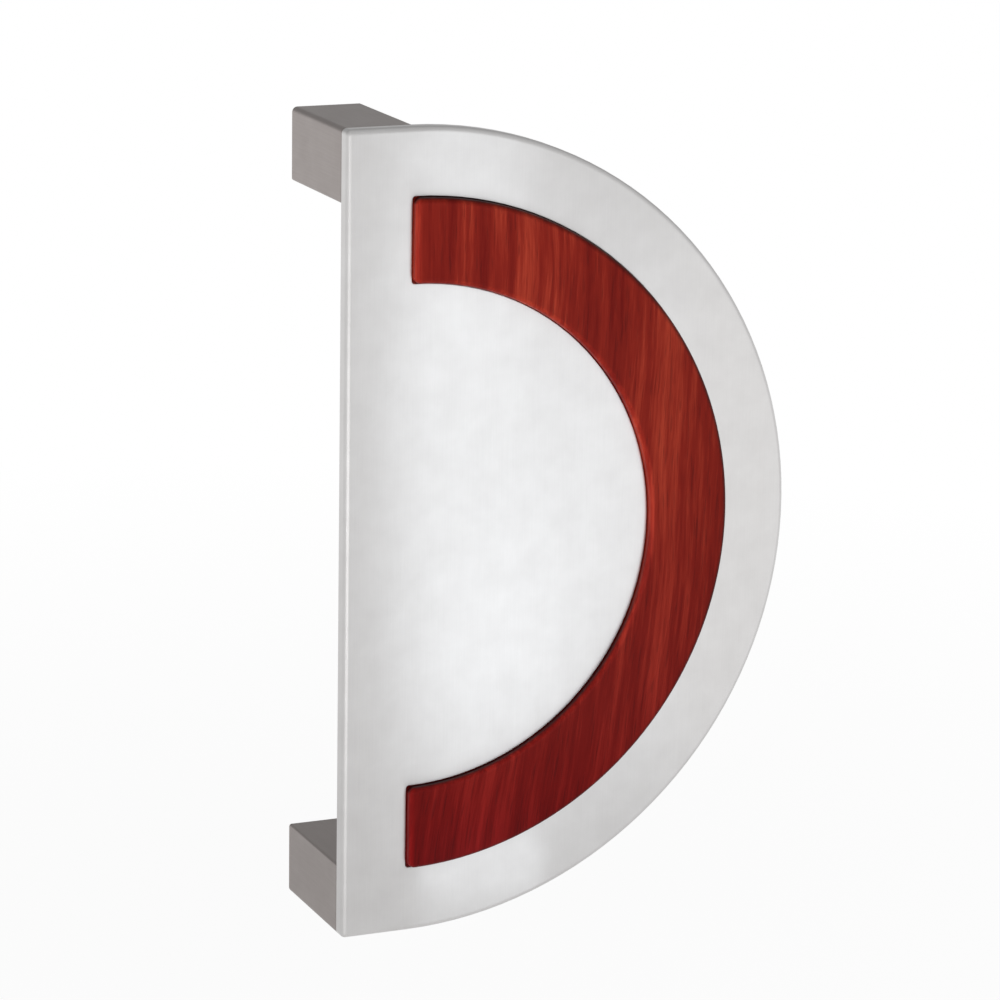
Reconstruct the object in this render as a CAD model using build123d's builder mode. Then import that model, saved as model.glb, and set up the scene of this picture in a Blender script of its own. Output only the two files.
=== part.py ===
"""Door pull handle: a D-shaped metal plate with a half-ring hardwood inlay, held on two square posts.

Units are millimetres, with +Z up. The door is the plane Y = 0, the front faces -Y and the curved side
points to +X. The origin lies midway between the two door bolts.
"""

import os
from math import radians, tan

from build123d import *

# Plate: a half disc with a straight strip along its flat side
plate_height = 300.0
plate_thickness = 6.0
strip_width = 26.0
plate_edge_radius = 2.0
plate_back_ease = 0.4

# Pocket in the front of the plate
rim_width = 24.8
pocket_width = 31.5
pocket_inset = 25.0
pocket_depth = 3.5
pocket_corner_radius = 1.0
pocket_edge_ease = 0.2

# Wooden inlay, standing a little proud of the plate
inlay_rise = 3.5
inlay_clearance = 0.25
inlay_corner_radius = 2.5
inlay_edge_radius = 2.0

# Square posts, flush with the straight edge, the ends and the corners of the plate
post_width = 27.0
post_depth = 50.0
post_edge_radius = 1.0
post_back_ease = 0.5

# Blind hole in each post for the bolt through the door, drawn at the thread's outer size
door_thread_diameter = 8.0
door_thread_depth = 24.0
drill_point_angle = 118.0

# Socket cap screws that hold the plate on the posts
screw_edge_distance = 5.5
screw_diameter = 4.0
screw_hole_clearance = 0.25
screw_thread_clearance = 0.05
screw_engagement = 4.0
screw_hole_spare_depth = 0.6
screw_head_diameter = 7.0
screw_head_height = 4.0
screw_head_ease = 0.4
screw_head_clearance = 0.3
screw_head_recess = 4.0
screw_socket_width = 3.0
screw_socket_depth = 2.0

# Places that follow from the sizes
arc_radius = plate_height / 2
edge_x = -post_width / 2
arc_x = edge_x + strip_width
pocket_end_x = edge_x + pocket_inset
pocket_outer_radius = arc_radius - rim_width
pocket_inner_radius = pocket_outer_radius - pocket_width
post_z = (plate_height - post_width) / 2
screw_offset = post_width / 2 - screw_edge_distance
counterbore_depth = screw_head_height + screw_head_recess

door_plane = Plane.XZ
plate_back = door_plane.offset(post_depth)
plate_front = plate_back.offset(plate_thickness)
inlay_front = plate_front.offset(inlay_rise)

# Two screws in each post, on a diagonal beside the door bolt
upper_screw_places = [(screw_offset, post_z - screw_offset), (-screw_offset, post_z + screw_offset)]
lower_screw_places = [(x, -z) for x, z in upper_screw_places]
screw_places = upper_screw_places + lower_screw_places


def half_ring(plane: Plane, clearance: float, corner_radius: float) -> Sketch:
    """Outline of the pocket, drawn smaller all round by a clearance."""
    with BuildSketch(plane) as profile:
        with Locations((arc_x, 0)):
            Circle(pocket_outer_radius - clearance)
            Circle(pocket_inner_radius + clearance, mode=Mode.SUBTRACT)
        with Locations((pocket_end_x + clearance, 0)):
            Rectangle(
                plate_height,
                plate_height,
                align=(Align.MIN, Align.CENTER),
                mode=Mode.INTERSECT,
            )
        fillet(profile.vertices(), corner_radius)
    return profile.sketch


def back_frame(x: float, y: float, z: float) -> Plane:
    """Plane at a point whose normal points at the door."""
    return Plane((x, y, z), x_dir=(1, 0, 0), z_dir=(0, 1, 0))


# Face plate
with BuildPart() as face_plate:
    with BuildSketch(plate_back):
        with BuildLine():
            CenterArc((arc_x, 0), arc_radius, -90, 180)
            Polyline(
                (arc_x, arc_radius),
                (edge_x, arc_radius),
                (edge_x, -arc_radius),
                (arc_x, -arc_radius),
            )
        make_face()
    extrude(amount=plate_thickness)
    front_edges = face_plate.faces().sort_by(Axis.Y)[0].edges()
    corner_edges = face_plate.edges().filter_by(Axis.Y).group_by(Axis.X)[0]
    fillet(front_edges + corner_edges, plate_edge_radius)
    chamfer(face_plate.faces().sort_by(Axis.Y)[-1].edges(), plate_back_ease)

    extrude(half_ring(plate_front, 0, pocket_corner_radius), amount=-pocket_depth, mode=Mode.SUBTRACT)
    pocket_edges = face_plate.faces().filter_by(Axis.Y).sort_by(Axis.Y)[0].inner_wires()[0].edges()
    chamfer(pocket_edges, pocket_edge_ease)

    with Locations(*[back_frame(x, -post_depth, z) for x, z in screw_places]):
        Hole(
            screw_diameter / 2 + screw_thread_clearance,
            depth=screw_engagement + screw_hole_spare_depth,
        )

# Wooden inlay
with BuildPart() as wood_inlay:
    extrude(half_ring(inlay_front, inlay_clearance, inlay_corner_radius), amount=-inlay_rise - pocket_depth)
    fillet(wood_inlay.faces().sort_by(Axis.Y)[0].edges(), inlay_edge_radius)

# Upper post, with its door-bolt hole and its two counterbored screw holes
with BuildPart() as upper_post:
    with BuildSketch(door_plane) as section:
        with Locations((0, post_z)):
            Rectangle(post_width, post_width)
        plate_corner = (edge_x, arc_radius)
        fillet(section.vertices().sort_by_distance(plate_corner)[1:], post_edge_radius)
        fillet(section.vertices().sort_by_distance(plate_corner)[0], plate_edge_radius)
    extrude(amount=post_depth)
    chamfer(upper_post.faces().sort_by(Axis.Y)[-1].edges(), post_back_ease)

    with Locations(back_frame(0, 0, post_z)):
        Hole(door_thread_diameter / 2, depth=door_thread_depth)
    with Locations(back_frame(0, -door_thread_depth, post_z)):
        Cone(
            0,
            door_thread_diameter / 2,
            door_thread_diameter / 2 / tan(radians(drill_point_angle / 2)),
            align=(Align.CENTER, Align.CENTER, Align.MAX),
            mode=Mode.SUBTRACT,
        )
    with Locations(*[back_frame(x, 0, z) for x, z in upper_screw_places]):
        CounterBoreHole(
            screw_diameter / 2 + screw_hole_clearance,
            screw_head_diameter / 2 + screw_head_clearance,
            counterbore_depth,
        )

# Lower post, the upper one's mirror image
with BuildPart() as lower_post:
    mirror(upper_post.part, about=Plane.XY)

# One socket cap screw, head up, with the seat of its head at the origin
with BuildPart() as screw:
    shank_length = post_depth - counterbore_depth + screw_engagement
    Cylinder(screw_diameter / 2, shank_length, align=(Align.CENTER, Align.CENTER, Align.MAX))
    Cylinder(
        screw_head_diameter / 2,
        screw_head_height,
        align=(Align.CENTER, Align.CENTER, Align.MIN),
    )
    chamfer(screw.edges().sort_by(Axis.Z)[-1], screw_head_ease)
    with BuildSketch(Plane.XY.offset(screw_head_height)):
        RegularPolygon(screw_socket_width / 2, 6, major_radius=False)
    extrude(amount=-screw_socket_depth, mode=Mode.SUBTRACT)

# The four screws, seated in the counterbores
with BuildPart() as post_screws:
    with Locations(*[back_frame(x, -counterbore_depth, z) for x, z in screw_places]):
        add(screw.part)

pieces = {
    "face_plate": face_plate.part,
    "wood_inlay": wood_inlay.part,
    "upper_post": upper_post.part,
    "lower_post": lower_post.part,
    "post_screws": post_screws.part,
}
os.makedirs("parts", exist_ok=True)
for name, piece in pieces.items():
    piece.label = name
    export_step(piece, f"parts/{name}.step")
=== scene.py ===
"""Dressed door pull handle: a D-shaped steel plate with a red hardwood half ring, on two square posts.

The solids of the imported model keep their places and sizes. This script gives them their finishes, grows
the inlay, its glue line, the cap screws and the bolt threads with Geometry Nodes, and sets the studio and
the camera. Lengths are in metres, +Z is up, the front faces -Y and the door is the plane Y = 0.
"""

import logging
import math
from dataclasses import dataclass, field
from enum import Enum

import bpy
from mathutils import Matrix, Vector


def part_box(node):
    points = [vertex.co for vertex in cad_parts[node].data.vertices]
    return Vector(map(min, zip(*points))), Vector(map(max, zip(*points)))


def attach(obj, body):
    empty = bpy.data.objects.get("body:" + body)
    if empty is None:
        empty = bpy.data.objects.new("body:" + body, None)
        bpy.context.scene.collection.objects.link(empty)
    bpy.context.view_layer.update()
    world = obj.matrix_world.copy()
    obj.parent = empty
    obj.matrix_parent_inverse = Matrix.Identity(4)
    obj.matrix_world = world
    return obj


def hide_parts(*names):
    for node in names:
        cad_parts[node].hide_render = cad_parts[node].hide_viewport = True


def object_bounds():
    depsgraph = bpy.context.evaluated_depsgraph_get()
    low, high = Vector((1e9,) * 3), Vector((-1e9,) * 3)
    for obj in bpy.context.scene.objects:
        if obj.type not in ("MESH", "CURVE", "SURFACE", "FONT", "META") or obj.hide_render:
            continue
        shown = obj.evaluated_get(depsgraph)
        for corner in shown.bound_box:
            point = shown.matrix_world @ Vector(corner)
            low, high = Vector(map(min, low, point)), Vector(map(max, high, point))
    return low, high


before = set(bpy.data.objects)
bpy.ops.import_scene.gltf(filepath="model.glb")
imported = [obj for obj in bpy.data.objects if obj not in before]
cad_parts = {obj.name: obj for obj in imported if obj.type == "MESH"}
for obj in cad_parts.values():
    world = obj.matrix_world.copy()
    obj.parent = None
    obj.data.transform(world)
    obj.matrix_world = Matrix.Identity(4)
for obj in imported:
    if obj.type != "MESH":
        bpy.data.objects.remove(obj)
cad_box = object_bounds()

log = logging.getLogger("door_pull")

MM = 0.001
MERGE_DISTANCE = 0.002 * MM
QUARTER_TURN = math.pi / 2
SIXTH_TURN = math.pi / 3
CREASE_ANGLE = math.radians(28.0)
UP = (0.0, 0.0, 1.0)
NONE_TO_ALL = (0.0, 1.0)
NOISE_SPAN = (0.3, 0.7)  # holds nearly all of a noise texture's values
NEARLY_ONE = 0.9999
COOL = (0.90, 0.955, 1.0)  # a faintly blue white
BODY = "root"

Colour = tuple[float, float, float, float]
Triple = tuple[float, float, float]
Span = tuple[float, float]
Socket = bpy.types.NodeSocket
Feed = float | int | tuple | Socket
Feeds = dict[str | int, Feed]


class NodeGraph:
    """A node tree with short calls that add nodes and join them."""

    def __init__(self, tree: bpy.types.NodeTree) -> None:
        """Keeps the tree that the nodes go into.

        Args:
            tree: A shader or geometry tree.
        """
        self.tree = tree

    def feed(self, socket: Socket, value: Feed) -> None:
        """Joins an output to an input, or sets the input's own value.

        Args:
            socket: The input to fill.
            value: An output socket, or a plain value.
        """
        if isinstance(value, Socket):
            self.tree.links.new(value, socket)
        else:
            socket.default_value = value

    def add(self, kind: str, feeds: Feeds | None = None, **settings: object) -> bpy.types.Node:
        """Adds one node.

        Args:
            kind: The node's type name.
            feeds: What goes into its inputs, by name or by number.
            settings: The node's own properties.

        Returns:
            The new node.
        """
        node = self.tree.nodes.new(kind)
        for name, value in settings.items():
            setattr(node, name, value)
        for key, value in (feeds or {}).items():
            self.feed(node.inputs[key], value)
        return node

    def math(self, operation: str, *values: Feed) -> Socket:
        """Adds a Math node.

        Args:
            operation: The node's operation.
            values: Its one, two or three operands.

        Returns:
            The result.
        """
        return self.add("ShaderNodeMath", dict(enumerate(values)), operation=operation).outputs[0]

    def total(self, *terms: tuple[Feed, float]) -> Socket:
        """Adds up values, each with its own weight.

        Args:
            terms: Pairs of a value and its weight.

        Returns:
            The weighted sum.
        """
        result: Feed = 0.0
        for value, weight in terms:
            result = self.math("MULTIPLY_ADD", value, weight, result)
        return result

    def remap(self, value: Socket, source: Span, target: Span = NONE_TO_ALL) -> Socket:
        """Carries a value from one range to another, with its ends clamped.

        Args:
            value: The value to carry over.
            source: The range that it comes from.
            target: The range that it goes to.

        Returns:
            The new value.
        """
        feeds = {0: value, 1: source[0], 2: source[1], 3: target[0], 4: target[1]}
        return self.add("ShaderNodeMapRange", feeds).outputs[0]

    def blend(self, factor: Feed, low: Feed, high: Feed, blend_type: str = "MIX") -> Socket:
        """Mixes two colours.

        Args:
            factor: The share of the second colour.
            low: The first colour.
            high: The second colour.
            blend_type: How the second colour acts on the first.

        Returns:
            The mixed colour.
        """
        feeds = {0: factor, 6: low, 7: high}
        return self.add("ShaderNodeMix", feeds, data_type="RGBA", blend_type=blend_type).outputs[2]

    def vector(self, x: Feed, y: Feed, z: Feed) -> Socket:
        """Puts three values together as a vector."""
        return self.add("ShaderNodeCombineXYZ", {0: x, 1: y, 2: z}).outputs[0]

    def noise(self, place: Socket, scale: Feed, detail: float, roughness: float = 0.5) -> Socket:
        """Adds a noise texture.

        Args:
            place: Where the texture is read.
            scale: Its features per unit of length.
            detail: How many finer layers it has.
            roughness: How strong the finer layers are.

        Returns:
            The noise, about 0.5 on average.
        """
        feeds = {"Vector": place, "Scale": scale, "Detail": detail, "Roughness": roughness}
        return self.add("ShaderNodeTexNoise", feeds).outputs[0]


class Surface(NodeGraph):
    """A new material with a Principled shader."""

    def __init__(self, name: str) -> None:
        """Makes the material, empty but for its shader and its output.

        Args:
            name: The material's name.
        """
        self.material = bpy.data.materials.new(name)
        self.material.use_nodes = True
        super().__init__(self.material.node_tree)
        self.tree.nodes.clear()
        self.shader = self.add("ShaderNodeBsdfPrincipled")
        self.add("ShaderNodeOutputMaterial", {"Surface": self.shader.outputs[0]})
        source = self.add("ShaderNodeTexCoord").outputs
        self.place = source["Object"]
        self.outward = source["Normal"]

    def set(self, **feeds: Feed) -> None:
        """Fills the shader's inputs, named with _ in place of spaces."""
        for name, value in feeds.items():
            self.feed(self.shader.inputs[name.replace("_", " ")], value)


class GrowthTree(NodeGraph):
    """A Geometry Nodes tree with named inputs, whose result becomes one plain mesh."""

    def __init__(self, name: str, sizes: dict[str, float | int]) -> None:
        """Starts the tree, with a named input for each size and one for the material.

        Args:
            name: The tree's name.
            sizes: The inputs' names and values, where whole numbers are counts.
        """
        super().__init__(bpy.data.node_groups.new(name, "GeometryNodeTree"))
        self.sizes = sizes
        sockets = self.tree.interface
        for label, value in sizes.items():
            kind = "NodeSocketInt" if isinstance(value, int) else "NodeSocketFloat"
            sockets.new_socket(label, in_out="INPUT", socket_type=kind)
        sockets.new_socket("Material", in_out="INPUT", socket_type="NodeSocketMaterial")
        sockets.new_socket("Mesh", in_out="OUTPUT", socket_type="NodeSocketGeometry")
        self.size = self.add("NodeGroupInput").outputs
        self.index = self.make("InputIndex")

    def make(self, kind: str, feeds: Feeds | None = None, **settings: object) -> Socket:
        """Adds a geometry node.

        Args:
            kind: The node's type name without its prefix.
            feeds: What goes into its inputs.
            settings: The node's own properties.

        Returns:
            The node's first output.
        """
        return self.add("GeometryNode" + kind, feeds, **settings).outputs[0]

    def row(self, count: Feed, place: Socket) -> Socket:
        """Sets out a chain of points by a rule in their index.

        Args:
            count: The number of points.
            place: Where each point goes.

        Returns:
            The chain, as a curve.
        """
        chain = self.make("MeshLine", {"Count": count})
        chain = self.make("SetPosition", {"Geometry": chain, "Position": place})
        return self.make("MeshToCurve", {"Mesh": chain})

    def choose(self, number: Socket, options: list[Feed]) -> Socket:
        """Picks one of several values by its number.

        Args:
            number: Which value to pick, from 0.
            options: The values.

        Returns:
            The picked value.
        """
        node = self.add("GeometryNodeIndexSwitch", {0: number}, data_type="FLOAT")
        while len(node.index_switch_items) < len(options):
            node.index_switch_items.new()
        for place, option in enumerate(options, start=1):
            self.feed(node.inputs[place], option)
        return node.outputs[0]

    def join(self, *parts: Socket) -> Socket:
        """Joins meshes into one, with the points that meet merged.

        Args:
            parts: The meshes.

        Returns:
            The joined mesh.
        """
        node = self.add("GeometryNodeJoinGeometry")
        for part in parts:
            self.tree.links.new(part, node.inputs[0])
        return self.make("MergeByDistance", {"Geometry": node.outputs[0], "Distance": MERGE_DISTANCE})

    def shade(self, mesh: Socket, smooth: bool) -> Socket:
        """Shades a mesh smooth or flat."""
        return self.make("SetShadeSmooth", {"Geometry": mesh, "Shade Smooth": smooth})

    def crease(self, mesh: Socket) -> Socket:
        """Shades a mesh smooth, with sharp edges where its faces turn by more than the crease angle.

        Args:
            mesh: The mesh to shade.

        Returns:
            The shaded mesh.
        """
        turn = self.make("InputMeshEdgeAngle")
        feeds = {
            "Geometry": self.shade(mesh, True),
            "Selection": self.math("GREATER_THAN", turn, CREASE_ANGLE),
            "Shade Smooth": False,
        }
        return self.make("SetShadeSmooth", feeds, domain="EDGE")

    def place_on(self, points: Socket, mesh: Socket, turn: Triple) -> Socket:
        """Puts a copy of a mesh on each point of a chain.

        Args:
            points: The chain of points.
            mesh: What is copied.
            turn: How each copy is turned.

        Returns:
            The copies.
        """
        return self.make("InstanceOnPoints", {"Points": points, "Instance": mesh, "Rotation": turn})

    def sample(self, line: Socket, number: Socket) -> Socket:
        """Reads the place of one point of a curve by its number."""
        feeds = {"Geometry": line, "Value": self.make("InputPosition"), "Index": number}
        return self.make("SampleIndex", feeds, data_type="FLOAT_VECTOR", domain="POINT")

    def stand(self, mesh: Socket) -> Socket:
        """Stands up in its place a mesh that was drawn lying flat, with its top to the front.

        Args:
            mesh: The mesh, in a tree with inputs for its place.

        Returns:
            The mesh in its place.
        """
        place = self.vector(self.size["Centre X"], self.size["Back Y"], self.size["Centre Z"])
        turn = (QUARTER_TURN, 0.0, 0.0)
        return self.make("Transform", {"Geometry": mesh, "Translation": place, "Rotation": turn})

    def grow(self, name: str, result: Socket, material: bpy.types.Material) -> bpy.types.Object:
        """Ends the tree, runs it once and keeps the result as a plain mesh.

        Args:
            name: The piece's name.
            result: The geometry that the tree ends in.
            material: The finish.

        Returns:
            The new piece, at the origin.
        """
        real = self.make("RealizeInstances", {"Geometry": result})
        done = self.make("SetMaterial", {"Geometry": real, "Material": self.size["Material"]})
        self.add("NodeGroupOutput", {"Mesh": done})
        piece = bpy.data.objects.new(name, bpy.data.meshes.new(name + "_start"))
        bpy.context.scene.collection.objects.link(piece)
        growth = piece.modifiers.new("growth", "NODES")
        growth.node_group = self.tree
        values = {**self.sizes, "Material": material}
        for item in self.tree.interface.items_tree:
            if item.in_out == "INPUT":
                growth[item.identifier] = values[item.name]
        graph = bpy.context.evaluated_depsgraph_get()
        mesh = bpy.data.meshes.new_from_object(piece.evaluated_get(graph))
        piece.modifiers.remove(growth)
        piece.data = mesh
        mesh.name = name
        log.info("%s: %d faces, finish %s", name, len(mesh.polygons), material.name)
        return piece


class BrushLay(Enum):
    """Lay of the drawn lines on a metal piece, as the turn that brings it to the pattern's Z axis."""

    UPRIGHT = (0.0, 0.0, 0.0)
    ALONG_POST = (QUARTER_TURN, 0.0, 0.0)


class SatinGrain(NodeGraph):
    """The grain that every metal finish shares: fine drawn lines and a soft clouding."""

    def __init__(self) -> None:
        """Builds the shader group once, with the lines along the Z axis of the vector that goes in."""
        super().__init__(bpy.data.node_groups.new("satin_grain", "ShaderNodeTree"))
        sockets = self.tree.interface
        sockets.new_socket("Vector", in_out="INPUT", socket_type="NodeSocketVector")
        for label in ("Lines per Metre", "Line Stretch", "Clouds per Metre"):
            sockets.new_socket(label, in_out="INPUT", socket_type="NodeSocketFloat")
        for label in ("Lines", "Clouds"):
            sockets.new_socket(label, in_out="OUTPUT", socket_type="NodeSocketFloat")
        source = self.add("NodeGroupInput").outputs
        x, y, z = self.add("ShaderNodeSeparateXYZ", {0: source["Vector"]}).outputs
        drawn = self.vector(x, y, self.math("DIVIDE", z, source["Line Stretch"]))
        lines = self.noise(drawn, source["Lines per Metre"], detail=2.0, roughness=0.6)
        clouds = self.noise(source["Vector"], source["Clouds per Metre"], detail=3.0, roughness=0.55)
        feeds = {"Lines": self.remap(lines, NOISE_SPAN), "Clouds": self.remap(clouds, NOISE_SPAN)}
        self.add("NodeGroupOutput", feeds)


@dataclass(frozen=True)
class SatinMetal:
    """A metal drawn to a satin finish."""

    name: str
    dark: Colour
    light: Colour
    roughness: float
    lay: BrushLay
    anisotropy: float = 0.0
    anisotropy_turn: float = 0.25
    roughness_spread: float = 0.03
    lines_per_metre: float = 2200.0
    line_stretch: float = 45.0
    clouds_per_metre: float = 110.0
    line_share: float = 0.55
    line_relief: float = 0.006 * MM

    def material(self, grain: SatinGrain) -> bpy.types.Material:
        """Makes the finish.

        Args:
            grain: The shared grain group.

        Returns:
            The new material.
        """
        surface = Surface(self.name)
        turned = surface.add("ShaderNodeMapping", {"Vector": surface.place, "Rotation": self.lay.value})
        feeds = {
            "Vector": turned.outputs[0],
            "Lines per Metre": self.lines_per_metre,
            "Line Stretch": self.line_stretch,
            "Clouds per Metre": self.clouds_per_metre,
        }
        pattern = surface.add("ShaderNodeGroup", feeds, node_tree=grain.tree).outputs
        cloud_share = 1.0 - self.line_share
        shade = surface.total((pattern["Lines"], self.line_share), (pattern["Clouds"], cloud_share))
        rough = (self.roughness + self.roughness_spread, self.roughness - self.roughness_spread)
        bump = surface.add("ShaderNodeBump", {"Distance": self.line_relief, "Height": pattern["Lines"]})
        surface.set(
            Base_Color=surface.blend(shade, self.dark, self.light),
            Roughness=surface.remap(shade, NONE_TO_ALL, rough),
            Metallic=1.0,
            Anisotropic=self.anisotropy,
            Anisotropic_Rotation=self.anisotropy_turn,
            Normal=bump.outputs[0],
        )
        return surface.material


@dataclass(frozen=True)
class RedHardwood:
    """A red-brown hardwood under a thin satin oil, with upright grain, painted shade on its sides that
    face up, and painted shade towards the bottom.
    """

    name: str = "red_hardwood"
    dark: Colour = (0.12, 0.0050, 0.0034, 1.0)
    base: Colour = (0.195, 0.0125, 0.0068, 1.0)
    bright: Colour = (0.36, 0.0410, 0.0200, 1.0)
    base_at: float = 0.48
    tone_span: Span = (0.32, 0.68)
    pore_colour: Colour = (0.035, 0.003, 0.003, 1.0)
    pore_share: float = 0.3
    pore_span: Span = (0.60, 0.70)
    # painted shade: the wood is darker towards the bottom
    foot_shade_tint: Colour = (0.55, 0.15, 0.35, 1.0)
    foot_shade_range: Span = (0.03, -0.125)
    # painted shade: darkens the wood's sides behind the front face, most where they face up
    painted_shade_tint: Colour = (0.20, 0.20, 0.25, 1.0)
    painted_shade_depths: Span = (0.6 * MM, 2.2 * MM)
    painted_shade_rises: Span = (-0.1, 0.4)
    painted_shade_shares: Span = (0.1, 1.0)
    figure_start: float = -5.4
    figure_rate: float = 77.0
    figure_growth: float = 243.0
    figure_share: float = 0.055
    lean: float = -0.05
    bend: float = 0.35
    wander: float = 7.0 * MM
    wander_per_metre: float = 14.0
    bands_per_metre: float = 170.0
    band_share: float = 0.45
    streaks_per_metre: float = 620.0
    streak_share: float = 0.37
    fibres_per_metre: float = 2400.0
    fibre_share: float = 0.18
    pores_per_metre: float = 1500.0
    stretch: float = 22.0
    pore_stretch: float = 18.0
    relief_depth: float = 0.05 * MM
    relief_strength: float = 0.5
    fibre_relief: float = 0.35
    pore_relief: float = -0.65
    roughness: float = 0.42
    roughness_spread: float = 0.06
    specular_level: float = 0.13

    def material(self, front: float) -> bpy.types.Material:
        """Makes the finish.

        Args:
            front: The Y of the board's front face.

        Returns:
            The new material.
        """
        surface = Surface(self.name)
        x, y, z = surface.add("ShaderNodeSeparateXYZ", {0: surface.place}).outputs
        drift = surface.noise(surface.place, self.wander_per_metre, detail=1.0)
        slope = surface.math("MULTIPLY_ADD", z, self.bend, self.lean)
        leaned = surface.math("MULTIPLY_ADD", z, slope, x)
        across = surface.math("MULTIPLY_ADD", drift, self.wander, leaned)
        fibre_place = surface.vector(across, y, surface.math("DIVIDE", z, self.stretch))
        pore_place = surface.vector(across, y, surface.math("DIVIDE", z, self.pore_stretch))

        bands = surface.noise(fibre_place, self.bands_per_metre, detail=2.0)
        streaks = surface.noise(fibre_place, self.streaks_per_metre, detail=3.0, roughness=0.6)
        fibres = surface.noise(fibre_place, self.fibres_per_metre, detail=2.0, roughness=0.6)
        pores = surface.remap(surface.noise(pore_place, self.pores_per_metre, detail=1.0), self.pore_span)
        tone = surface.total(
            (bands, self.band_share),
            (streaks, self.streak_share),
            (fibres, self.fibre_share),
            (self.figure(surface, across), self.figure_share),
        )

        colour = self.ramp(surface, tone)
        colour = surface.blend(surface.math("MULTIPLY", pores, self.pore_share), colour, self.pore_colour)
        # painted shade, darker towards the bottom
        colour = surface.blend(surface.remap(z, self.foot_shade_range), colour, self.foot_shade_tint, "MULTIPLY")
        depth = surface.math("SUBTRACT", y, front)
        # painted shade on the sides, most where they face up
        colour = surface.blend(self.painted_side_shade(surface, depth), colour, self.painted_shade_tint, "MULTIPLY")
        height = surface.total((fibres, self.fibre_relief), (pores, self.pore_relief))
        relief = {"Distance": self.relief_depth, "Height": height, "Strength": self.relief_strength}
        rough = (self.roughness + self.roughness_spread, self.roughness - self.roughness_spread)
        surface.set(
            Base_Color=colour,
            Roughness=surface.remap(tone, NOISE_SPAN, rough),
            Specular_IOR_Level=self.specular_level,
            Normal=surface.add("ShaderNodeBump", relief).outputs[0],
        )
        return surface.material

    def figure(self, surface: Surface, across: Socket) -> Socket:
        """Makes the broad growth bands, which close up across the board."""
        rate = surface.math("MULTIPLY_ADD", across, self.figure_growth, self.figure_rate)
        return surface.math("COSINE", surface.math("MULTIPLY_ADD", across, rate, self.figure_start))

    def ramp(self, surface: Surface, tone: Socket) -> Socket:
        """Colours the grain from its dark lines to its bright ones.

        Args:
            surface: The material.
            tone: The grain's tone, about 0.5 on average.

        Returns:
            The colour.
        """
        node = surface.add("ShaderNodeValToRGB", {0: surface.remap(tone, self.tone_span)})
        stops = node.color_ramp.elements
        stops[0].color = self.dark
        stops[1].color = self.bright
        stops.new(self.base_at).color = self.base
        return node.outputs[0]

    def painted_side_shade(self, surface: Surface, depth: Socket) -> Socket:
        """Finds the share of painted shade on the sides, most where they face up.

        Args:
            surface: The material.
            depth: The depth behind the board's front face.

        Returns:
            The share of the painted shade tint.
        """
        side = surface.remap(depth, self.painted_shade_depths)
        rise = surface.add("ShaderNodeSeparateXYZ", {0: surface.outward}).outputs["Z"]
        return surface.math("MULTIPLY", side, surface.remap(rise, self.painted_shade_rises, self.painted_shade_shares))


@dataclass(frozen=True)
class PaleFloor:
    """A plain pale floor, near white to the eye and in reflections, with real soft shadows and painted
    shade near the object.
    """

    name: str = "pale_floor"
    colour: Colour = (0.38, 0.38, 0.38, 1.0)
    white: Colour = (1.0, 1.0, 1.0, 1.0)
    seen_shares: Span = (0.96, 1.0)
    mirrored_shares: Span = (0.60, 0.80)
    # painted shade: less white glow near the object, so the floor and its reflections darken there,
    # partly through its real shadow
    painted_shade_reach: Span = (0.15, 0.7)

    def material(self) -> bpy.types.Material:
        """Makes the finish.

        Returns:
            The new material.
        """
        material = bpy.data.materials.new(self.name)
        material.use_nodes = True
        graph = NodeGraph(material.node_tree)
        graph.tree.nodes.clear()
        rays = graph.add("ShaderNodeLightPath").outputs
        mirrored = graph.math("MAXIMUM", rays["Is Glossy Ray"], rays["Is Transmission Ray"])
        place = graph.add("ShaderNodeTexCoord").outputs["Object"]
        reach = graph.add("ShaderNodeVectorMath", {0: place}, operation="LENGTH").outputs["Value"]
        # painted shade near the object, as the white shares fall towards it
        seen_share = graph.remap(reach, self.painted_shade_reach, self.seen_shares)
        mirrored_share = graph.remap(reach, self.painted_shade_reach, self.mirrored_shares)
        seen_white = graph.math("MULTIPLY", rays["Is Camera Ray"], seen_share)
        mirrored_white = graph.math("MULTIPLY", mirrored, mirrored_share)
        feeds = {
            0: graph.math("ADD", seen_white, mirrored_white),
            1: graph.add("ShaderNodeBsdfDiffuse", {"Color": self.colour}).outputs[0],
            2: graph.add("ShaderNodeEmission", {"Color": self.white}).outputs[0],
        }
        mixed = graph.add("ShaderNodeMixShader", feeds)
        graph.add("ShaderNodeOutputMaterial", {"Surface": mixed.outputs[0]})
        return material


def dress(node: str, material: bpy.types.Material) -> None:
    """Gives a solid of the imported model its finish.

    Args:
        node: The solid's name.
        material: The finish.
    """
    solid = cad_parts[node]
    for slot in solid.material_slots:
        slot.material = material
    log.info("%s: %d faces, finish %s", node, len(solid.data.polygons), material.name)


@dataclass
class FacePlate:
    """The D-shaped plate."""

    node: str = "face_plate"
    finish: SatinMetal = SatinMetal(
        name="plate_satin_steel",
        dark=(0.793, 0.779, 0.772, 1.0),
        light=(0.853, 0.841, 0.835, 1.0),
        roughness=0.38,
        lay=BrushLay.UPRIGHT,
        anisotropy=0.8,
        roughness_spread=0.008,
        clouds_per_metre=90.0,
        line_share=0.3,
        line_relief=0.002 * MM,
    )

    def build(self, grain: SatinGrain) -> None:
        """Dresses the plate.

        Args:
            grain: The shared metal grain.
        """
        dress(self.node, self.finish.material(grain))


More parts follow.
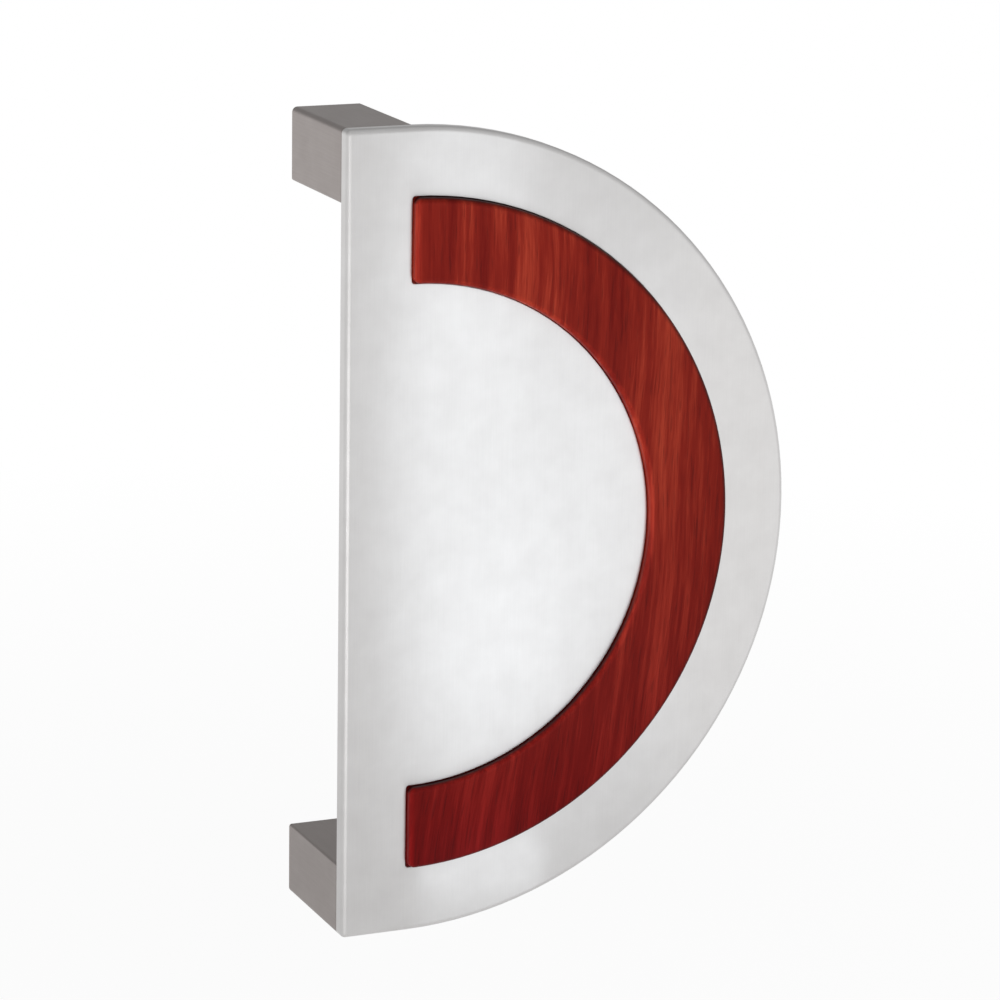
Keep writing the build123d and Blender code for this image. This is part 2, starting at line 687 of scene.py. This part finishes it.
def half_ring_line(tree: GrowthTree, outer: Feed, inner: Feed, overrun: Feed, corner: Feed) -> Socket:
    """Draws the closed outline of a half ring, out along its outer arc and back along its inner one.

    Args:
        tree: The tree that the outline is drawn in, with inputs for its arc steps and corner steps.
        outer: The outer arc's radius.
        inner: The inner arc's radius.
        overrun: How far the straight ends lie behind the arcs' centre.
        corner: The corners' radius.

    Returns:
        The outline, as a curve in the XY plane.
    """
    size = tree.size
    on_outer = tree.math("LESS_THAN", tree.index, size["Arc Steps"])
    band = tree.math("SUBTRACT", outer, inner)
    radius = tree.math("MULTIPLY_ADD", on_outer, band, inner)
    direction = tree.math("MULTIPLY_ADD", on_outer, 2.0, -1.0)
    place = tree.math("MODULO", tree.index, size["Arc Steps"])
    share = tree.math("DIVIDE", place, tree.math("SUBTRACT", size["Arc Steps"], 1.0))
    swing = tree.math("MULTIPLY_ADD", share, 2.0, -1.0)
    limit = tree.math("ADD", tree.math("ARCSINE", tree.math("DIVIDE", overrun, radius)), QUARTER_TURN)
    angle = tree.math("MULTIPLY", tree.math("MULTIPLY", direction, limit), swing)
    x = tree.math("MULTIPLY", radius, tree.math("COSINE", angle))
    y = tree.math("MULTIPLY", radius, tree.math("SINE", angle))
    count = tree.math("MULTIPLY", size["Arc Steps"], 2.0)
    line = tree.row(count, tree.vector(x, y, 0.0))
    line = tree.make("SetSplineCyclic", {"Geometry": line, "Cyclic": True})
    at_end = tree.math("GREATER_THAN", tree.math("ABSOLUTE", swing), NEARLY_ONE)
    rounding = {
        "Curve": line,
        "Count": size["Corner Steps"],
        "Radius": tree.math("MULTIPLY", at_end, corner),
    }
    line = tree.make("FilletCurve", rounding, mode="POLY")
    return tree.make("SetCurveNormal", {"Curve": line}, mode="Z_UP")


@dataclass
class Inlay:
    """The hardwood half ring in the plate's pocket, grown from its two arcs and its rounded edge."""

    node: str = "wood_inlay"
    slot: str = "inlay_wood"
    band_width: float = 31.0 * MM
    edge_radius: float = 2.0 * MM
    corner_radius: float = 2.5 * MM
    arc_steps: int = 112
    edge_steps: int = 8
    corner_steps: int = 7
    finish: RedHardwood = RedHardwood()

    def build(self) -> None:
        """Grows the half ring in the place of its solid, and the glue line round it."""
        low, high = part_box(self.node)
        outer = (high.z - low.z) / 2
        centre_x = high.x - outer
        ring_sizes = {
            "Outer Radius": outer,
            "Inner Radius": outer - self.band_width,
            "End Overrun": centre_x - low.x,
            "Corner Radius": self.corner_radius,
            "Centre X": centre_x,
            "Back Y": high.y,
            "Centre Z": (high.z + low.z) / 2,
            "Arc Steps": self.arc_steps,
            "Corner Steps": self.corner_steps,
        }
        edge_sizes = {
            "Depth": high.y - low.y,
            "Edge Radius": self.edge_radius,
            "Edge Steps": self.edge_steps,
        }
        tree = GrowthTree("half_ring", {**ring_sizes, **edge_sizes})
        piece = tree.grow("half_ring_inlay", self.ring(tree), self.finish.material(low.y))
        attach(piece, BODY)
        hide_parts(self.node)
        GlueLine(self.slot).build(ring_sizes, low.y)

    def ring(self, tree: GrowthTree) -> Socket:
        """Sweeps the ring's sides along its outline and closes them with its front and its back.

        Args:
            tree: The tree that the ring is made in.

        Returns:
            The ring's mesh, in its place.
        """
        size = tree.size
        outline = half_ring_line(
            tree,
            outer=size["Outer Radius"],
            inner=size["Inner Radius"],
            overrun=size["End Overrun"],
            corner=size["Corner Radius"],
        )
        sweep = {"Curve": outline, "Profile Curve": self.edge_profile(tree)}
        walls = tree.make("FlipFaces", {"Mesh": tree.make("CurveToMesh", sweep)})
        axes = {0: UP, 1: tree.make("InputTangent")}
        inward = tree.add("ShaderNodeVectorMath", axes, operation="CROSS_PRODUCT").outputs[0]
        inset = {0: inward, "Scale": size["Edge Radius"]}
        offset = tree.add("ShaderNodeVectorMath", inset, operation="SCALE").outputs[0]
        face_line = tree.make("SetPosition", {"Geometry": outline, "Offset": offset})
        face = tree.make("FillCurve", {"Curve": face_line}, mode="NGONS")
        lift = tree.vector(0.0, 0.0, size["Depth"])
        face = tree.make("Transform", {"Geometry": face, "Translation": lift})
        back = tree.make("FillCurve", {"Curve": outline}, mode="NGONS")
        back = tree.make("FlipFaces", {"Mesh": back})
        closed = tree.join(tree.shade(walls, True), tree.shade(face, False), tree.shade(back, False))
        return tree.stand(closed)

    def edge_profile(self, tree: GrowthTree) -> Socket:
        """Draws the section of the ring's side, up from its back and round its front edge.

        Args:
            tree: The tree that the section is drawn in.

        Returns:
            The section, as a curve.
        """
        size = tree.size
        radius = size["Edge Radius"]
        step = tree.math("MAXIMUM", tree.math("SUBTRACT", tree.index, 1.0), 0.0)
        angle = tree.math("MULTIPLY", tree.math("DIVIDE", step, size["Edge Steps"]), QUARTER_TURN)
        inset = tree.math("MULTIPLY", radius, tree.math("SUBTRACT", 1.0, tree.math("COSINE", angle)))
        drop = tree.math("MULTIPLY", radius, tree.math("SUBTRACT", 1.0, tree.math("SINE", angle)))
        above_back = tree.math("MINIMUM", tree.index, 1.0)
        height = tree.math("MULTIPLY", above_back, tree.math("SUBTRACT", size["Depth"], drop))
        x = tree.math("MULTIPLY", inset, -1.0)
        y = tree.math("MULTIPLY", height, -1.0)
        return tree.row(tree.math("ADD", size["Edge Steps"], 2.0), tree.vector(x, y, 0.0))


@dataclass
class GlueLine:
    """The line of glue and wood dust in the gap round the inlay, grown between the gap's two outlines,
    with painted shade over nearly all of it.
    """

    slot: str
    gap: float = 0.25 * MM
    slack: float = 0.02 * MM
    height: float = 3.2 * MM
    pocket_corner_radius: float = 1.0 * MM
    section_corners: int = 4
    # the wood's colour, with painted side shade over nearly all of it
    finish: RedHardwood = RedHardwood(name="wood_dust_glue_and_shade", painted_shade_shares=(0.75, 1.0))

    def build(self, ring_sizes: dict[str, float | int], front: float) -> None:
        """Grows the line, as a square tube whose four rows of points are then set along the gap's edges.

        Args:
            ring_sizes: The sizes and the place of the inlay.
            front: The Y of the inlay's front face.
        """
        line_sizes = {
            "Inner Slack": self.slack,
            "Outer Slack": self.gap - self.slack,
            "Pocket Corner": self.pocket_corner_radius,
            "Height": self.height,
            "Section Corners": self.section_corners,
        }
        tree = GrowthTree("glue_line", {**ring_sizes, **line_sizes})
        size = tree.size
        inside = self.outline(tree, size["Inner Slack"], size["Corner Radius"])
        outside = self.outline(tree, size["Outer Slack"], size["Pocket Corner"])
        section = {"Width": size["Height"], "Height": size["Height"]}
        square = tree.make("CurvePrimitiveQuadrilateral", section)
        tube = tree.make("CurveToMesh", {"Curve": inside, "Profile Curve": square})
        point = tree.math("FLOOR", tree.math("DIVIDE", tree.index, size["Section Corners"]))
        corner = tree.math("MODULO", tree.index, size["Section Corners"])
        from_middle = tree.math("SUBTRACT", corner, (self.section_corners - 1) / 2)
        across = tree.math("GREATER_THAN", from_middle, 0.0)
        at_top = tree.math("LESS_THAN", tree.math("ABSOLUTE", from_middle), 1.0)
        ends = {0: across, 4: tree.sample(inside, point), 5: tree.sample(outside, point)}
        spread = tree.add("ShaderNodeMix", ends, data_type="VECTOR").outputs[1]
        lift = tree.vector(0.0, 0.0, tree.math("MULTIPLY", at_top, size["Height"]))
        shaped = tree.make("SetPosition", {"Geometry": tube, "Position": spread, "Offset": lift})
        piece = tree.grow("glue_line", tree.stand(tree.shade(shaped, False)), self.finish.material(front))
        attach(piece, BODY)

    def outline(self, tree: GrowthTree, reach: Socket, corner: Socket) -> Socket:
        """Draws the inlay's outline, wider all round.

        Args:
            tree: The tree that the outline is drawn in.
            reach: How much wider it is.
            corner: The corners' radius.

        Returns:
            The outline, as a curve in the XY plane.
        """
        size = tree.size
        outer = tree.math("ADD", size["Outer Radius"], reach)
        inner = tree.math("SUBTRACT", size["Inner Radius"], reach)
        overrun = tree.math("ADD", size["End Overrun"], reach)
        return half_ring_line(tree, outer, inner, overrun, corner)


@dataclass
class Posts:
    """The two square posts."""

    nodes: tuple[str, str] = ("upper_post", "lower_post")
    finish: SatinMetal = SatinMetal(
        name="post_satin_steel",
        dark=(0.405, 0.362, 0.346, 1.0),
        light=(0.445, 0.402, 0.386, 1.0),
        roughness=0.38,
        lay=BrushLay.ALONG_POST,
    )

    def build(self, grain: SatinGrain) -> None:
        """Dresses both posts and grows the threads in them.

        Args:
            grain: The shared metal grain.
        """
        material = self.finish.material(grain)
        for node in self.nodes:
            dress(node, material)
        BoltThreads(self.nodes).build(material)


@dataclass
class CapScrews:
    """The four socket cap screws that hold the plate on the posts, grown from one turned profile."""

    node: str = "post_screws"
    slot: str = "screw_steel"
    head_diameter: float = 7.0 * MM
    head_height: float = 4.0 * MM
    head_ease: float = 0.4 * MM
    seat_ease: float = 0.25 * MM
    socket_width: float = 3.0 * MM
    socket_depth: float = 2.0 * MM
    socket_ease: float = 0.12 * MM
    shank_diameter: float = 4.0 * MM
    tip_ease: float = 0.4 * MM
    ridges: int = 24
    ridge_depth: float = 0.14 * MM
    ring_steps: int = 96
    screws: int = 4
    finish: SatinMetal = SatinMetal(
        name="screw_satin_steel",
        dark=(0.42, 0.41, 0.40, 1.0),
        light=(0.55, 0.54, 0.53, 1.0),
        roughness=0.32,
        lay=BrushLay.ALONG_POST,
    )

    def build(self, grain: SatinGrain) -> None:
        """Grows the screws in the place of their solids.

        Args:
            grain: The shared metal grain.
        """
        low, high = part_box(self.node)
        offset = high.x - self.head_diameter / 2
        tree = GrowthTree(
            "cap_screws",
            {
                "Head Radius": self.head_diameter / 2,
                "Head Height": self.head_height,
                "Head Ease": self.head_ease,
                "Seat Ease": self.seat_ease,
                "Socket Width": self.socket_width,
                "Socket Depth": self.socket_depth,
                "Socket Ease": self.socket_ease,
                "Shank Radius": self.shank_diameter / 2,
                "Shank Length": high.y - low.y - self.head_height,
                "Tip Ease": self.tip_ease,
                "Ridges": self.ridges,
                "Ridge Depth": self.ridge_depth,
                "Offset": offset,
                "Post Height": high.z - self.head_diameter / 2 - offset,
                "Seat Y": high.y - self.head_height,
                "Ring Steps": self.ring_steps,
                "Screws": self.screws,
            },
        )
        screw = tree.crease(self.turned_screw(tree))
        copies = tree.place_on(self.places(tree), screw, (-QUARTER_TURN, 0.0, 0.0))
        piece = tree.grow("cap_screws", copies, self.finish.material(grain))
        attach(piece, BODY)
        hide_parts(self.node)

    def turned_screw(self, tree: GrowthTree) -> Socket:
        """Turns one screw, head up, with the seat of its head at the origin.

        Args:
            tree: The tree that the screw is made in.

        Returns:
            The screw's mesh.
        """
        size = tree.size
        grid = tree.add("GeometryNodeMeshGrid", {"Size X": 1.0, "Size Y": 1.0})
        place = tree.add("ShaderNodeSeparateXYZ", {0: tree.make("InputPosition")}).outputs
        angle = tree.math("MULTIPLY", tree.math("ADD", place[0], 0.5), 2.0 * math.pi)
        flat = tree.math("SUBTRACT", tree.math("MODULO", angle, SIXTH_TURN), SIXTH_TURN / 2)
        half_width = tree.math("MULTIPLY", size["Socket Width"], 0.5)
        socket = tree.math("DIVIDE", half_width, tree.math("COSINE", flat))
        mouth = tree.math("MULTIPLY_ADD", half_width, 1.0 / math.cos(SIXTH_TURN / 2), size["Socket Ease"])
        wave = tree.math("COSINE", tree.math("MULTIPLY", angle, size["Ridges"]))
        groove = tree.math("MULTIPLY", size["Ridge Depth"], tree.math("MULTIPLY_ADD", wave, -0.5, 0.5))
        rim = tree.math("SUBTRACT", size["Head Radius"], groove)
        top = size["Head Height"]
        bottom = tree.math("MULTIPLY", size["Shank Length"], -1.0)
        floor = tree.math("SUBTRACT", top, size["Socket Depth"])
        rings: list[tuple[Feed, Feed]] = [
            (0.0, floor),
            (socket, floor),
            (socket, tree.math("SUBTRACT", top, size["Socket Ease"])),
            (mouth, top),
            (tree.math("SUBTRACT", size["Head Radius"], size["Head Ease"]), top),
            (rim, tree.math("SUBTRACT", top, size["Head Ease"])),
            (rim, size["Seat Ease"]),
            (tree.math("SUBTRACT", size["Head Radius"], size["Seat Ease"]), 0.0),
            (size["Shank Radius"], 0.0),
            (size["Shank Radius"], tree.math("ADD", bottom, size["Tip Ease"])),
            (tree.math("SUBTRACT", size["Shank Radius"], size["Tip Ease"]), bottom),
            (0.0, bottom),
        ]
        tree.feed(grid.inputs["Vertices X"], tree.math("ADD", size["Ring Steps"], 1.0))
        tree.feed(grid.inputs["Vertices Y"], len(rings))
        share = tree.math("ADD", place[1], 0.5)
        ring = tree.math("ROUND", tree.math("MULTIPLY", share, len(rings) - 1.0))
        radius = tree.choose(ring, [reach for reach, _ in rings])
        height = tree.choose(ring, [level for _, level in rings])
        x = tree.math("MULTIPLY", radius, tree.math("COSINE", angle))
        y = tree.math("MULTIPLY", radius, tree.math("SINE", angle))
        shape = {"Geometry": grid.outputs[0], "Position": tree.vector(x, y, height)}
        return tree.join(tree.make("FlipFaces", {"Mesh": tree.make("SetPosition", shape)}))

    def places(self, tree: GrowthTree) -> Socket:
        """Sets out the screws' seats, two on a diagonal in each post.

        Args:
            tree: The tree that the places are made in.

        Returns:
            The places, as a chain of points.
        """
        size = tree.size
        side = tree.math("MULTIPLY_ADD", tree.math("MODULO", tree.index, 2.0), -2.0, 1.0)
        x = tree.math("MULTIPLY", side, size["Offset"])
        post = tree.math("FLOOR", tree.math("MULTIPLY", tree.index, 0.5))
        end = tree.math("MULTIPLY_ADD", post, -2.0, 1.0)
        z = tree.math("MULTIPLY", end, tree.math("SUBTRACT", size["Post Height"], x))
        return tree.row(size["Screws"], tree.vector(x, size["Seat Y"], z))


@dataclass
class BoltThreads:
    """The threads in the two door-bolt holes, grown along a spiral in each."""

    posts: tuple[str, str] = ("upper_post", "lower_post")
    slot: str = "post_metal"
    pitch: float = 1.25 * MM
    crest_radius: float = 3.32 * MM
    root_radius: float = 4.03 * MM
    crest_width: float = 0.32 * MM
    root_width: float = 1.12 * MM
    mouth_gap: float = 1.0 * MM
    turns: int = 15
    steps: int = 36

    def build(self, material: bpy.types.Material) -> None:
        """Grows the threads.

        Args:
            material: The posts' finish.
        """
        low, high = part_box(self.posts[0])
        tree = GrowthTree(
            "bolt_threads",
            {
                "Pitch": self.pitch,
                "Turns": self.turns,
                "Middle Radius": (self.crest_radius + self.root_radius) / 2,
                "Thread Depth": self.root_radius - self.crest_radius,
                "Crest Width": self.crest_width,
                "Root Width": self.root_width,
                "Start Y": high.y - self.mouth_gap,
                "Centre X": (low.x + high.x) / 2,
                "Post Height": (low.z + high.z) / 2,
                "Steps": self.steps,
            },
        )
        size = tree.size
        coil = {
            "Resolution": size["Steps"],
            "Rotations": size["Turns"],
            "Start Radius": size["Middle Radius"],
            "End Radius": size["Middle Radius"],
            "Height": tree.math("MULTIPLY", size["Pitch"], size["Turns"]),
        }
        spiral = tree.make("SetCurveNormal", {"Curve": tree.make("CurveSpiral", coil)}, mode="Z_UP")
        tooth = {
            "Height": size["Thread Depth"],
            "Bottom Width": size["Root Width"],
            "Top Width": size["Crest Width"],
            "Offset": 0.0,
        }
        profile = tree.make("CurvePrimitiveQuadrilateral", tooth, mode="TRAPEZOID")
        profile = tree.make("Transform", {"Geometry": profile, "Rotation": (0.0, 0.0, QUARTER_TURN)})
        sweep = {"Curve": spiral, "Profile Curve": profile, "Fill Caps": True}
        thread = tree.crease(tree.make("CurveToMesh", sweep))
        end = tree.math("MULTIPLY_ADD", tree.index, -2.0, 1.0)
        level = tree.math("MULTIPLY", end, size["Post Height"])
        places = tree.row(len(self.posts), tree.vector(size["Centre X"], size["Start Y"], level))
        copies = tree.place_on(places, thread, (QUARTER_TURN, 0.0, 0.0))
        piece = tree.grow("bolt_threads", copies, material)
        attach(piece, BODY)


class LampRole(Enum):
    """What a lamp acts on: whether it lights matt surfaces, and whether metal mirrors it."""

    KEY = (True, False)
    CARD = (False, True)


@dataclass
class Softbox:
    """A rectangular studio lamp."""

    name: str
    role: LampRole
    place: Triple
    width: float
    height: float
    power: float
    colour: Triple = (1.0, 1.0, 1.0)
    facing: Triple = (0.0, 1.0, 0.0)

    def build(self) -> None:
        """Sets the lamp up, out of the camera's sight and with its role's reach."""
        lamp = bpy.data.lights.new(self.name, "AREA")
        lamp.shape = "RECTANGLE"
        lamp.size = self.width
        lamp.size_y = self.height
        lamp.energy = self.power
        lamp.color = self.colour
        stand = bpy.data.objects.new(self.name, lamp)
        stand.location = self.place
        stand.rotation_euler = Vector(self.facing).to_track_quat("-Z", "Y").to_euler()
        stand.visible_camera = False
        stand.visible_diffuse, stand.visible_glossy = self.role.value
        bpy.context.scene.collection.objects.link(stand)
        log.info("%s: %.4f W", self.name, self.power)


@dataclass
class Studio:
    """The floor, the surroundings and the lamps."""

    floor: PaleFloor = PaleFloor()
    floor_radius: float = 8.0
    floor_steps: int = 96
    horizon: Colour = (0.755, 0.755, 0.755, 1.0)
    overhead_front: Colour = (0.52, 0.52, 0.52, 1.0)
    overhead_back: Colour = (0.34, 0.34, 0.34, 1.0)
    flagged_overhead: Colour = (0.04, 0.04, 0.04, 1.0)
    backdrop: Colour = (1.0, 1.0, 1.0, 1.0)
    horizon_band: Span = (0.06, 0.24)
    back_band: Span = (-0.05, 0.25)
    lamps: list[Softbox] = field(
        default_factory=lambda: [
            Softbox(
                "key", LampRole.KEY, (-0.66, -0.66, -0.08), 0.5, 0.12, 13.2, facing=(0.73, 0.61, 0.08)
            ),
            Softbox("band_card", LampRole.CARD, (0.1048, -0.156, -0.0225), 0.1206, 0.182, 0.0301, COOL),
            Softbox("rim_card", LampRole.CARD, (0.233, -0.156, -0.022), 0.134, 0.252, 0.0188),
            Softbox("edge_card", LampRole.CARD, (-0.185, -0.36, -0.07), 0.39, 0.15, 0.18),
            Softbox("crown_card", LampRole.CARD, (0.074, -0.156, 0.114), 0.050, 0.125, 0.0070, COOL),
            Softbox("low_card", LampRole.CARD, (0.090, -0.156, -0.0835), 0.056, 0.107, 0.0046, COOL),
            Softbox("foot_card", LampRole.CARD, (0.0555, -0.09, -0.139), 0.05, 0.018, 0.00155, COOL),
        ]
    )

    def build(self) -> None:
        """Sets the whole studio."""
        self.lay_floor()
        self.surround()
        for lamp in self.lamps:
            lamp.build()

    def lay_floor(self) -> None:
        """Lays a round floor under the lowest point of the object."""
        level = cad_box[0].z
        steps = range(self.floor_steps)
        angles = [2.0 * math.pi * step / self.floor_steps for step in steps]
        corners = [
            (self.floor_radius * math.cos(angle), self.floor_radius * math.sin(angle), level)
            for angle in angles
        ]
        mesh = bpy.data.meshes.new("floor")
        mesh.from_pydata(corners, [], [list(steps)])
        mesh.materials.append(self.floor.material())
        floor = bpy.data.objects.new("floor", mesh)
        bpy.context.scene.collection.objects.link(floor)

    def surround(self) -> None:
        """Makes the world white to the eye, pale along the horizon and dim overhead.

        Metal mirrors the overhead part brighter in front than behind, and matt surfaces get almost no
        light from it.
        """
        world = bpy.data.worlds.new("studio")
        world.use_nodes = True
        bpy.context.scene.world = world
        graph = NodeGraph(world.node_tree)
        graph.tree.nodes.clear()
        direction = graph.add("ShaderNodeTexCoord").outputs["Generated"]
        _, y, z = graph.add("ShaderNodeSeparateXYZ", {0: direction}).outputs
        rays = graph.add("ShaderNodeLightPath").outputs
        behind = graph.remap(y, self.back_band)
        mirrored = graph.blend(behind, self.overhead_front, self.overhead_back)
        overhead = graph.blend(rays["Is Glossy Ray"], self.flagged_overhead, mirrored)
        colour = graph.blend(graph.remap(z, self.horizon_band), self.horizon, overhead)
        colour = graph.blend(rays["Is Camera Ray"], colour, self.backdrop)
        background = graph.add("ShaderNodeBackground", {"Color": colour})
        graph.add("ShaderNodeOutputWorld", {"Surface": background.outputs[0]})


@dataclass
class Camera:
    """The camera at the viewing angle of the reference picture."""

    aim: Triple = (55.6 * MM, -36.0 * MM, 5.9 * MM)
    azimuth: float = math.radians(-23.34)
    elevation: float = math.radians(14.30)
    roll: float = math.radians(0.96)
    distance: float = 1.554
    lens: float = 151.7
    sensor: float = 36.0

    def build(self) -> None:
        """Places the camera and makes it the scene's own."""
        level = math.cos(self.elevation)
        back = Vector(
            (
                math.sin(self.azimuth) * level,
                -math.cos(self.azimuth) * level,
                math.sin(self.elevation),
            )
        )
        right = Vector(UP).cross(back).normalized()
        up = back.cross(right)
        tilted_right = math.cos(self.roll) * right + math.sin(self.roll) * up
        tilted_up = back.cross(tilted_right)
        data = bpy.data.cameras.new("camera")
        data.lens = self.lens
        data.sensor_width = self.sensor
        camera = bpy.data.objects.new("camera", data)
        turn = Matrix((tilted_right, tilted_up, back)).transposed().to_4x4()
        camera.matrix_world = Matrix.Translation(Vector(self.aim) + self.distance * back) @ turn
        bpy.context.scene.collection.objects.link(camera)
        bpy.context.scene.camera = camera


def main() -> None:
    """Builds every piece in order, then the studio and the camera."""
    logging.basicConfig(level=logging.INFO, format="%(message)s")
    bpy.context.scene.view_settings.view_transform = "Standard"
    grain = SatinGrain()
    FacePlate().build(grain)
    Inlay().build()
    Posts().build(grain)
    CapScrews().build(grain)
    Studio().build()
    Camera().build()


if __name__ == "__main__":
    main()
